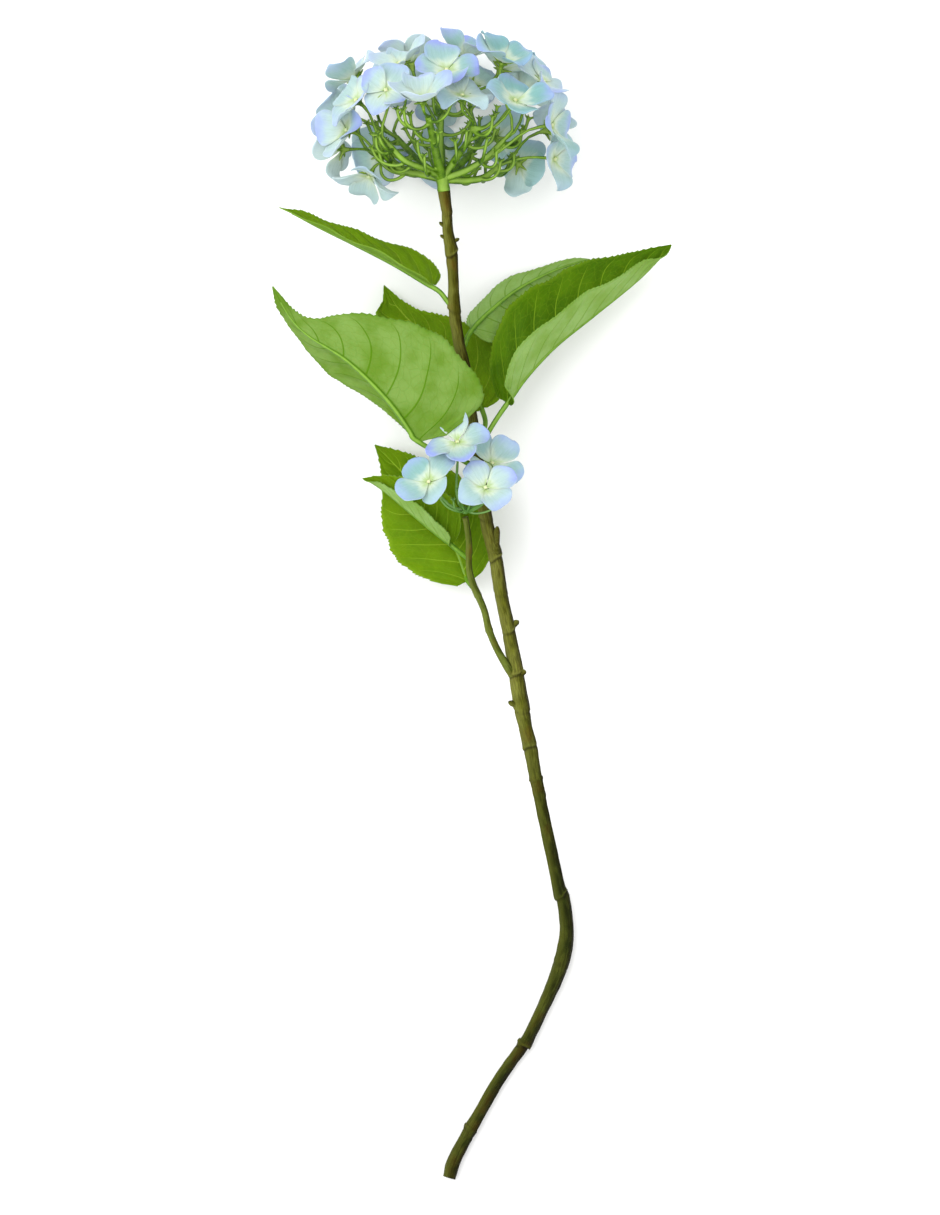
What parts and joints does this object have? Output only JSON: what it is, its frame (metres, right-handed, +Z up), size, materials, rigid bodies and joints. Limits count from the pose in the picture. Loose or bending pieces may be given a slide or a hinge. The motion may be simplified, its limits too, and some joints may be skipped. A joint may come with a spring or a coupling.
{
  "type": "cut hydrangea",
  "caption": "Cut hydrangea stem lying on its side: bent woody stem, pale blue domed flower head on green stalks, side shoot with a small cluster, and serrated green leaves.",
  "frame": {"origin": "on the surface that the flower lies on, under the middle of its outline", "axes": "+Y along the stem from the cut end to the flower head, +Z up from the surface, +X to the right"},
  "size_m": [0.262, 0.7434, 0.1576],
  "materials": {
    "woody_bark": "satin",
    "green_stalk": "satin",
    "leaf_blade": "satin",
    "floret_petal": "matte"
  },
  "bodies": {
    "root": {"cluster_floret_left": "floret_petal", "cluster_floret_right": "floret_petal", "cluster_floret_right_top": "floret_petal", "cluster_floret_top": "floret_petal", "cluster_stalks": "green_stalk", "floret_back": "floret_petal", "floret_back_left": "floret_petal", "floret_back_left_low": "floret_petal", "floret_back_left_top": "floret_petal", "floret_back_low": "floret_petal", "floret_back_right": "floret_petal", "floret_back_right_low": "floret_petal", "floret_back_right_top": "floret_petal", "floret_front": "floret_petal", "floret_front_right": "floret_petal", "floret_left": "floret_petal", "floret_left_front": "floret_petal", "floret_left_hanging": "floret_petal", "floret_left_low": "floret_petal", "floret_left_top": "floret_petal", "floret_left_upper": "floret_petal", "floret_right": "floret_petal", "floret_right_back": "floret_petal", "floret_right_front": "floret_petal", "floret_right_hanging": "floret_petal", "floret_right_low": "floret_petal", "floret_right_top": "floret_petal", "floret_right_upper": "floret_petal", "floret_top_back": "floret_petal", "floret_top_front": "floret_petal", "floret_top_left": "floret_petal", "floret_top_right": "floret_petal", "floret_top_right_back": "floret_petal", "leaf_behind": "leaf_blade", "leaf_left_large": "leaf_blade", "leaf_lower": "leaf_blade", "leaf_lower_folded": "leaf_blade", "leaf_right_behind": "leaf_blade", "leaf_right_large": "leaf_blade", "leaf_upper_left": "leaf_blade", "main_stem": "woody_bark", "side_shoot": "woody_bark", "stalk_back": "green_stalk", "stalk_back_left": "green_stalk", "stalk_back_right": "green_stalk", "stalk_front": "green_stalk", "stalk_front_left": "green_stalk", "stalk_front_right": "green_stalk", "stalk_left": "green_stalk", "stalk_right": "green_stalk", "stalk_right_low": "green_stalk", "stalk_top": "green_stalk"}
  },
  "joints": []
}
